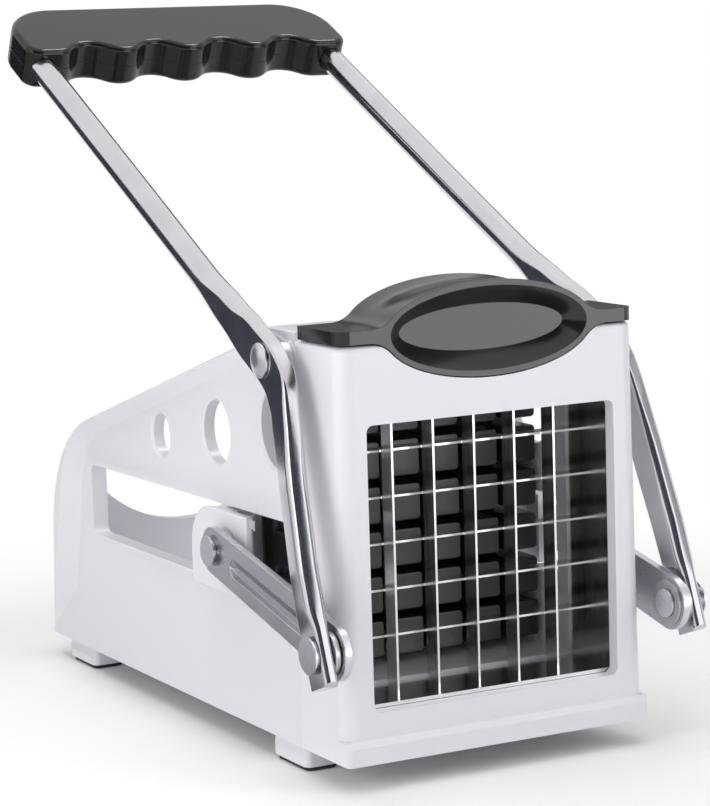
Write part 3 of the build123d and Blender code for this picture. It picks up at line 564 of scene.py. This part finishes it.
def shift_slot_edges():
    """Move the floor, the rear end and the front of the roof of the side slots in the edited housing."""
    front, rear = SLOT_FRONT - SLOT_BORDER, SLOT_REAR + SLOT_BORDER
    roof = SLOT_HIGH + SLOT_BORDER
    pick_vertices(lambda place: abs(place.x) > PANEL_FACE and front < place.y < rear
                  and SLOT_LOW - SLOT_BORDER < place.z < SLOT_LOW + SLOT_CORNER)
    bpy.ops.transform.translate(value=(0, 0, -SLOT_FLOOR_DROP))
    pick_vertices(lambda place: abs(place.x) > PANEL_FACE and SLOT_REAR - SLOT_CORNER < place.y < rear
                  and SLOT_LOW - 2 * SLOT_BORDER < place.z < roof)
    bpy.ops.transform.translate(value=(0, -SLOT_REAR_SHIFT, 0))
    pick_vertices(lambda place: abs(place.x) > PANEL_FACE and front < place.y < SLOT_FRONT + SLOT_CORNER
                  and SLOT_HIGH - SLOT_CORNER < place.z < roof)
    bpy.ops.transform.translate(value=(0, 0, SLOT_FRONT_RISE))


def raise_bridge():
    """Raise the bridge behind the cap of the edited housing, beside round pivot bosses."""
    pivot = middle_of("pivot_spacer_left")
    start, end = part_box("blade_cap")[1].y + BRIDGE_START, pivot.y + BRIDGE_END
    for y in (start, start + BRIDGE_STEP, end):
        cut_across(y)
    pick_vertices(lambda place: start + BRIDGE_STEP / 2 < place.y < end + TINY
                  and place.z > BLOCK_TOP - BRIDGE_DEPTH
                  and math.hypot(place.y - pivot.y, place.z - pivot.z) > PIVOT_BOSS)
    bpy.ops.transform.translate(value=(0, 0, BRIDGE_RISE))


def housing_shell():
    """Housing whose slots open towards the front, with a raised bridge behind the cap."""
    piece = joined_copy("housing", "housing_shell")
    edit(piece)
    shift_slot_edges()
    raise_bridge()
    finish_edit()
    round_edges(piece, 0.6 * MM)
    hand_over(piece, white_plastic, "housing")


def carriage_block():
    """Carriage whose outer plates reach a little over the upper edge of the slots and to the back."""
    piece = joined_copy("pusher_carriage", "carriage")
    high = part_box("pusher_carriage")[1]
    plate = high.x - CARRIAGE_PLATE
    edit(piece)
    pick_vertices(lambda place: abs(place.x) > plate and place.y > high.y - CARRIAGE_PLATE_REAR)
    bpy.ops.transform.translate(value=(0, CARRIAGE_PLATE_GROWTH, 0))
    pick_vertices(lambda place: abs(place.x) > plate and place.z > SLOT_LOW)
    bpy.ops.transform.resize(value=(1, 1, CARRIAGE_PLATE_STRETCH), center_override=(0, 0, SLOT_LOW))
    finish_edit()
    round_edges(piece, 0.5 * MM)
    hand_over(piece, carriage_plastic, "pusher_carriage")


def ram_plate():
    """Plate of the ram with well rounded upright edges."""
    piece = joined_copy("pusher_head", "ram_plate")
    low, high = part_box("pusher_head")
    edit(piece)
    mesh = bmesh.from_edit_mesh(piece.data)
    bpy.ops.mesh.select_mode(type="EDGE")
    for rim in mesh.edges:
        first, second = (corner.co for corner in rim.verts)
        upright = abs(first.x - second.x) < TINY and abs(first.y - second.y) < TINY
        at_side = abs(first.x) > high.x - RAM_EDGE
        rim.select_set(upright and at_side and rim.is_manifold and rim.calc_face_angle() > CORNER_ANGLE)
    mesh.select_flush_mode()
    bpy.ops.mesh.bevel(offset=RAM_ROUND * (high.y - low.y), segments=6, affect="EDGES")
    finish_edit()
    round_edges(piece, 0.3 * MM)
    hand_over(piece, head_plastic, "pusher_head")


def blade_cap_handle():
    """Cap with a waist between the rims of its two finger dishes."""
    piece = joined_copy("blade_cap", "cap")
    low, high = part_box("blade_cap")
    bar_top = high.z - CAP_OVAL_RISE
    edit(piece)
    for share, height in CAP_WAIST:
        y = low.y + share * (high.y - low.y)
        cut_across(y)
        pick_vertices(lambda place: abs(place.y - y) < TINY and place.z > bar_top)
        bpy.ops.transform.resize(value=(1, 1, height), center_override=(0, y, bar_top))
    finish_edit()
    round_edges(piece, 0.8 * MM, 3)
    hand_over(piece, cap_plastic, "blade_cap")


def link_bar(side_name):
    """Link whose groove is pressed in with sloping sides."""
    node = f"link_{side_name}"
    piece = joined_copy(node, f"link_bar_{side_name}")
    low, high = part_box(node)
    outer, outwards = (high.x, 1) if side_name == "right" else (low.x, -1)
    start, end = middle_of(f"lever_rivet_{side_name}"), middle_of(f"pusher_pin_{side_name}")
    centre = Vector((outer, (start.y + end.y) / 2, (start.z + end.z) / 2))
    length = (end - start).length
    rise = math.atan2(end.z - start.z, end.y - start.y)
    shallow, deep = GROOVE_DEPTHS
    round_edges(piece, 0.2 * MM, 3)
    edit(piece)
    # laid level, its groove's floor drawn together, and put back at its slope
    bpy.ops.mesh.select_all(action="SELECT")
    bpy.ops.transform.rotate(value=rise, orient_axis="X", center_override=centre)
    pick_vertices(lambda place: shallow < (outer - place.x) * outwards < deep
                  and abs(place.z - centre.z) < GROOVE_HALF
                  and abs(place.y - centre.y) < length / 2 - GROOVE_MARGIN)
    shortening = 1 - GROOVE_SHORTENING / length
    bpy.ops.transform.resize(value=(1, shortening, GROOVE_NARROWING), center_override=centre)
    bpy.ops.mesh.select_all(action="SELECT")
    bpy.ops.transform.rotate(value=-rise, orient_axis="X", center_override=centre)
    finish_edit()
    smooth_faces(piece)
    hand_over(piece, link_steel, node)


# ---------------------------------------------------------------- lever arms
def lever_line():
    """Middle line of the lever, as a function of the distance from its pin, and the ends of its bend.

    The function gives y, z and the line's rise. The line is straight from the pin to the knee,
    bends there, and runs straight on through the pivot to the grip.
    """
    pivot, pin = middle_of("pivot_screw_left"), middle_of("lever_rivet_left")
    knee = pivot - KNEE_REACH * HANDLE_ALONG
    shin_rise = math.atan2(knee.z - pin.z, knee.y - pin.y)
    bend = shin_rise - HANDLE_RISE
    radius = KNEE_REACH / math.tan(bend / 2)
    bend_start = math.hypot(knee.y - pin.y, knee.z - pin.z) - KNEE_REACH
    pivot_at = bend_start + radius * bend

    def point(distance):
        """Place and rise of the line at a distance from the pin."""
        if distance <= bend_start:
            start, rise, beyond = pin, shin_rise, distance
        elif distance >= pivot_at:
            start, rise, beyond = pivot, HANDLE_RISE, distance - pivot_at
        else:
            rise = shin_rise - (distance - bend_start) / radius
            y = pivot.y + radius * (math.sin(HANDLE_RISE) - math.sin(rise))
            z = pivot.z - radius * (math.cos(HANDLE_RISE) - math.cos(rise))
            return y, z, rise
        return start.y + beyond * math.cos(rise), start.z + beyond * math.sin(rise), rise

    return point, bend_start, pivot_at


def lever_rings(bend_start, pivot_at):
    """Rings of the tube from the grip down, eased from station to station.

    A station has the distance from the lower pin, the place across, the turn about the tube's axis in
    degrees, and the section's width, thickness and corner radius; all but the distance are in mm.
    """
    stations = [Ring(*station) for station in (
        (pivot_at + 190 * MM, 50.4, 0, 7.8, 7.8, 3.88),
        (pivot_at + 80 * MM, 51.0, 0, 7.8, 7.8, 3.88),
        (pivot_at + 43 * MM, 51.4, 0, 7.8, 7.8, 3.88),
        (pivot_at + 23 * MM, 51.7, 0, 9.4, 6.4, 1.8),
        (pivot_at + 10 * MM, 52.0, 0, 12.2, 4.8, 0.9),
        (pivot_at, 52.0, 0, 12.2, 4.6, 0.7),
        (pivot_at - 9.5 * MM, 52.2, 0, 12.2, 4.6, 0.8),
        (bend_start, 53.5, 5, 11.0, 5.2, 1.7),
        (0.7 * bend_start, 55.4, 10, 10.4, 5.9, 2.5),
        (0.35 * bend_start, 57.0, 9, 10.0, 6.2, 2.6),
        (12.5 * MM, 57.3, 6, 9.8, 6.0, 2.4),
        (4.5 * MM, 57.5, 0, 10.3, 4.2, 1.6),
        (-9.0 * MM, 57.5, 0, 10.3, 4.2, 1.6),
    )]
    rings = []
    for upper, lower in zip(stations, stations[1:]):
        steps = 1 if upper is stations[0] or lower is stations[-1] else RINGS_PER_STATION
        for step in range(steps):
            share = step / steps
            eased = (1 - math.cos(math.pi * share)) / 2
            place = [a + share * (b - a) for a, b in zip(upper[:2], lower[:2])]
            rings.append(Ring(*place, *[a + eased * (b - a) for a, b in zip(upper[2:], lower[2:])]))
    return rings + [stations[-1]]


def part_quarters(centre, side, ring, sign):
    """Move the four quarters of the selected ring apart by a section's flats, or together again."""
    mesh = bmesh.from_edit_mesh(bpy.context.object.data)
    mesh.verts.ensure_lookup_table()
    selected = [vertex.index for vertex in mesh.verts if vertex.select]
    quarters = {}
    for index in selected:
        offset = mesh.verts[index].co - centre
        quarters.setdefault((offset.x > 0, offset.dot(side) > 0), []).append(index)
    for (outer, front), members in quarters.items():
        pick_numbers(members)
        across = (ring.thickness / 2 - ring.corner) * MM * (1 if outer else -1)
        along = (ring.width / 2 - ring.corner) * MM * (1 if front else -1)
        bpy.ops.transform.translate(value=sign * (Vector((across, 0, 0)) + along * side))
    pick_numbers(selected)


def turn_ring(centre, axis, angle):
    """Turn the selected ring about the tube's own axis."""
    across = Vector((1, 0, 0))
    bpy.ops.transform.rotate(
        value=angle, orient_axis="Z", orient_matrix=Matrix((across, axis.cross(across), axis)),
        orient_matrix_type="GLOBAL", center_override=centre,
    )


def reshape_ring(centre, axis, side, old, ring):
    """Give the selected ring, which still has the old section, the section and turn of a new one."""
    if old.turn:
        turn_ring(centre, axis, math.radians(-old.turn))
    part_quarters(centre, side, old, -1)
    bpy.ops.transform.resize(value=(ring.corner / old.corner,) * 3, center_override=centre)
    part_quarters(centre, side, ring, 1)
    if ring.turn:
        turn_ring(centre, axis, math.radians(ring.turn))


def cut_tip(end, down, side, width):
    """Cut the tube's tip: a bevelled corner in front, and a round one behind."""
    across, along = TIP_BEVEL
    half = width / 2 * MM
    cuts = [(end + (half - across * MM) * side, across * down + along * side)]
    round_middle = end - TIP_RADIUS * down + (TIP_RADIUS - half) * side
    for turn in TIP_CUTS:
        slope = math.cos(math.radians(turn)) * down - math.sin(math.radians(turn)) * side
        cuts.append((round_middle + TIP_RADIUS * slope, slope))
    for on_cut, outwards in cuts:
        pick_faces(lambda place, normal: (place - end).length < TIP_REACH)
        bpy.ops.mesh.bisect(plane_co=on_cut, plane_no=outwards, use_fill=True, clear_outer=True)


def lever_tube():
    """Tube from the grip to the lower pin: round above, pressed flat at the pivot and at its tip."""
    point, bend_start, pivot_at = lever_line()
    rings = lever_rings(bend_start, pivot_at)
    old = rings[0]
    y, z, rise = point(old.distance)
    centre = Vector((-old.x * MM, y, z))
    bpy.ops.object.select_all(action="DESELECT")
    bpy.ops.mesh.primitive_circle_add(
        vertices=RING_POINTS, radius=old.corner * MM, fill_type="NGON", location=centre,
        rotation=(rise - math.pi / 2, 0, 0),
    )
    piece = bpy.context.object
    piece.name = "lever_tube_left"
    apply_place(piece)
    edit(piece)
    # half a point's turn leaves no point on the border between two quarters
    bpy.ops.mesh.select_all(action="SELECT")
    turn_ring(centre, Vector((0, math.cos(rise), math.sin(rise))), math.pi / RING_POINTS)
    for ring in rings[1:]:
        y, z, new_rise = point(ring.distance)
        moved = Vector((-ring.x * MM, y, z))
        bpy.ops.mesh.extrude_region_move(TRANSFORM_OT_translate={"value": moved - centre})
        if abs(new_rise - rise) > TINY:
            bpy.ops.transform.rotate(value=rise - new_rise, orient_axis="X", center_override=moved)
        centre, rise = moved, new_rise
        axis = Vector((0, math.cos(rise), math.sin(rise)))
        side = Vector((0, -math.sin(rise), math.cos(rise)))
        if (ring.width, ring.thickness, ring.corner) != (old.width, old.thickness, old.corner):
            reshape_ring(centre, axis, side, old, ring)
        old = ring
    bpy.ops.mesh.select_all(action="SELECT")
    bpy.ops.mesh.normals_make_consistent(inside=False)
    cut_tip(centre, -axis, side, rings[-1].width)
    finish_edit()
    smooth_faces(piece)
    return piece


# ---------------------------------------------------------------- rivets, pins and screws
def headed_pin(name, seat, outwards, head, neck, shank, edge, crown=0.0, recess=0.0):
    """Round head on a narrower neck with a plain shank; seat is the middle of the neck's foot.

    head, neck and shank give radius and length; edge is the head's rounding, crown its dome and
    recess the depth of its cross, all in mm.
    """
    radius, flange = (size * MM for size in head)
    neck_radius, neck_height = (size * MM for size in neck)
    shank_radius, shank_length = (size * MM for size in shank)
    bpy.ops.object.select_all(action="DESELECT")
    bpy.ops.mesh.primitive_cylinder_add(
        vertices=HEAD_POINTS, radius=radius, depth=flange, location=(0, 0, neck_height + flange / 2)
    )
    piece = bpy.context.object
    piece.name = name
    apply_place(piece)
    edit(piece)
    height = neck_height + flange
    pick_edges(lambda place: place.z > height - TINY)
    bpy.ops.mesh.bevel(offset=edge * MM, segments=4, affect="EDGES")
    pick_faces(lambda place, normal: normal.z > LEVEL_NORMAL and place.z > height - TINY)
    if crown:
        for step in CROWN_STEPS:
            bpy.ops.mesh.inset(thickness=radius * CROWN_RING)
            bpy.ops.transform.translate(value=(0, 0, crown * step * MM))
    pick_faces(lambda place, normal: normal.z < -LEVEL_NORMAL and place.z < neck_height + TINY)
    bpy.ops.mesh.inset(thickness=radius - neck_radius)
    bpy.ops.mesh.extrude_region_move(TRANSFORM_OT_translate={"value": (0, 0, -neck_height)})
    if neck_radius > shank_radius:
        bpy.ops.mesh.inset(thickness=neck_radius - shank_radius)
    bpy.ops.mesh.extrude_region_move(TRANSFORM_OT_translate={"value": (0, 0, -shank_length)})
    pick_edges(lambda place: place.z < TINY - shank_length)
    bpy.ops.mesh.bevel(offset=min(SHANK_BEVEL, shank_radius / 3), segments=1, affect="EDGES")
    finish_edit()
    if recess:
        for turn in (0, math.pi / 2):
            cut_slot(piece, height + crown * MM, recess * MM, radius, turn)
    piece.rotation_mode = "QUATERNION"
    piece.rotation_quaternion = Vector(outwards).to_track_quat("Z", "Y")
    piece.location = seat
    apply_place(piece)
    smooth_faces(piece)
    return piece


def cut_slot(piece, top, depth, radius, turn):
    """Cut one bar of a cross recess, which narrows towards its floor."""
    bpy.ops.object.select_all(action="DESELECT")
    bpy.ops.mesh.primitive_cube_add(size=1, location=(0, 0, top), rotation=(0, 0, turn))
    cutter = bpy.context.object
    cutter.scale = (radius, radius * CROSS_WIDTH, 2 * depth)
    apply_place(cutter)
    edit(cutter)
    pick_vertices(lambda place: place.z < top)
    bpy.ops.transform.resize(value=(CROSS_TAPER, CROSS_TAPER, 1), center_override=(0, 0, top))
    finish_edit()
    only(piece)
    boolean = piece.modifiers.new("recess", "BOOLEAN")
    boolean.operation = "DIFFERENCE"
    boolean.solver = "EXACT"
    boolean.object = cutter
    bpy.ops.object.modifier_apply(modifier="recess")
    bpy.data.objects.remove(cutter)


def side_fasteners():
    """Pins, rivets and pivot screws of both sides, each made on the left and mirrored."""
    outwards, inwards = (-1, 0, 0), (1, 0, 0)
    rows = [
        # node, name, node on its axis, place across in mm, way it faces, head, neck, shank, edge, crown
        ("pivot_screw", "pivot_screw_head", "pivot_screw", -54.5, outwards,
         (4.8, 0.5), (4.5, 0.1), (3.0, 18.2), 0.25, 1.0),
        ("pusher_pin", "carriage_pin_head", "pusher_pin", -53.9, outwards,
         (4.4, 0.5), (3.4, 0.9), (3.0, 10.0), 0.15, 0.0),
        ("lever_rivet", "lever_rivet_head", "lever_rivet", -59.5, outwards,
         (5.0, 0.5), (3.8, 0.9), (3.0, 5.4), 0.15, 0.0),
        ("link_rivet", "rivet_tail", "lever_rivet", -50.8, inwards,
         (4.0, 0.5), (3.7, 0.3), (2.95, 2.8), 0.2, 0.1),
    ]
    made = []
    for node, name, axis_node, across, facing, *sizes in rows:
        axis = middle_of(f"{axis_node}_left")
        made.append((node, headed_pin(name, (across * MM, axis.y, axis.z), facing, *sizes)))
    for node, piece in made:
        twin = other_side(piece, piece.name + "_right")
        piece.name += "_left"
        hand_over(piece, rivet_steel, node + "_left")
        hand_over(twin, rivet_steel, node + "_right")


def assembly_screws():
    """Small cross-recessed screws of the ram, the cap and the grip."""
    ram, cap = middle_of("pusher_screws"), middle_of("cap_screws")
    ram_seat = Vector((0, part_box("pusher_screws")[1].y - SCREW_SINK, ram.z))
    cap_seat = Vector((0, cap.y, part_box("cap_screws")[0].z + SCREW_SINK))
    grip_seat = Vector(lever_pivot) + (GRIP_MOUTH + GRIP_SCREW_REACH) * HANDLE_ALONG
    grip_seat += GRIP_SCREW_DEPTH * HANDLE_UNDER
    rows = [
        # node, name, middle seat, steps across, spacing, way it faces, shank length in mm
        ("pusher_screws", "ram_screw", ram_seat, (-1, 0, 1), 2 * CELL_PITCH, (0, 1, 0), 8.8),
        ("cap_screws", "cap_screw", cap_seat, (-1, 1), 1.5 * CELL_PITCH, (0, 0, -1), 7.6),
        ("grip_screws", "grip_screw", grip_seat, (-1, 0, 1), GRIP_SCREW_SPACING, HANDLE_UNDER, 7.2),
    ]
    for node, name, middle, steps, spacing, facing, shank in rows:
        for number, step in enumerate(steps, 1):
            piece = headed_pin(
                f"{name}_{number}", middle + Vector((step * spacing, 0, 0)), facing,
                head=(3.0, 1.0), neck=(2.2, 0.4), shank=(1.6, shank), edge=0.4, crown=0.3, recess=0.9,
            )
            hand_over(piece, zinc_steel, node)


# ---------------------------------------------------------------- studio, finishes and pieces
aim_camera()
build_stage()

white_plastic = moulded_plastic(
    "white_plastic", colours=((0.76, 0.75, 0.80), (0.78, 0.77, 0.815)), roughness=(0.28, 0.32),
    grain=1400.0, grain_depth=0.00002,
)
carriage_plastic = moulded_plastic(
    "carriage_plastic", colours=((0.73, 0.72, 0.76), (0.76, 0.75, 0.79)), roughness=(0.34, 0.40),
    grain=1400.0, grain_depth=0.00002,
)
cap_plastic = moulded_plastic(
    "cap_plastic", colours=((0.008, 0.0085, 0.0085), (0.011, 0.0115, 0.0115)), roughness=(0.15, 0.19),
    grain=1200.0, grain_depth=0.000012,
)
grip_plastic = moulded_plastic(
    "grip_plastic", colours=((0.005, 0.0055, 0.0055), (0.008, 0.0085, 0.0085)), roughness=(0.16, 0.20),
    grain=1200.0, grain_depth=0.000012, ior=1.46,
)
head_plastic = moulded_plastic(
    "head_plastic", colours=((0.022, 0.023, 0.024), (0.032, 0.033, 0.034)), roughness=(0.2, 0.28),
    grain=900.0, grain_depth=0.00003,
)
pad_rubber = moulded_plastic(
    "pad_rubber", colours=((0.015, 0.015, 0.015), (0.026, 0.026, 0.026)), roughness=(0.7, 0.85),
    grain=700.0, grain_depth=0.00006,
)
lever_steel = steel(
    "lever_steel", colours=((0.60, 0.605, 0.63), (0.66, 0.665, 0.69)), roughness=(0.12, 0.20),
    marks_per_metre=(900, 90, 90),
)
link_steel = steel(
    "link_steel", colours=((0.58, 0.58, 0.62), (0.64, 0.64, 0.68)), roughness=(0.26, 0.34),
    marks_per_metre=(700, 120, 700),
)
rivet_steel = steel(
    "rivet_steel", colours=((0.72, 0.715, 0.76), (0.78, 0.775, 0.82)), roughness=(0.26, 0.34),
    marks_per_metre=(600, 600, 600),
)
blade_steel = steel(
    "blade_steel", colours=((0.62, 0.62, 0.62), (0.72, 0.72, 0.72)), roughness=(0.16, 0.26),
    marks_per_metre=(60, 900, 60),
)
spacer_steel = steel(
    "spacer_steel", colours=((0.80, 0.80, 0.84), (0.86, 0.86, 0.90)), roughness=(0.5, 0.6),
    marks_per_metre=(400, 400, 400),
)
zinc_steel = steel(
    "zinc_steel", colours=((0.50, 0.51, 0.52), (0.60, 0.60, 0.60)), roughness=(0.30, 0.45),
    marks_per_metre=(400, 400, 400),
)

housing_shell()
carriage_block()
ram_plate()
moulding("pusher_fingers", "ram_fingers", head_plastic, width=0.5 * MM)
moulding("foot_pads", "rubber_pads", pad_rubber, width=0.3 * MM)
moulding("grip_upper", "grip_top", grip_plastic, width=0.3 * MM)
moulding("grip_lower", "grip_bottom", grip_plastic, width=0.3 * MM)
blade_cap_handle()
for side_name in ("left", "right"):
    link_bar(side_name)
    for node in ("pusher_washer", "lever_washer", "link_washer"):
        moulding(f"{node}_{side_name}", f"{node}_ring_{side_name}", zinc_steel, width=0.12 * MM, segments=1)
    moulding(
        f"pivot_spacer_{side_name}", f"pivot_ring_{side_name}", spacer_steel, width=0.12 * MM, segments=1
    )
left_tube = lever_tube()
right_tube = other_side(left_tube, "lever_tube_right")
hand_over(left_tube, lever_steel, "lever_arm_left")
hand_over(right_tube, lever_steel, "lever_arm_right")
side_fasteners()
assembly_screws()

# the blades and their frame keep their CAD shapes
for name in ("vertical_blades", "horizontal_blades", "blade_frame"):
    nodes[name].data.materials.clear()
    nodes[name].data.materials.append(blade_steel)
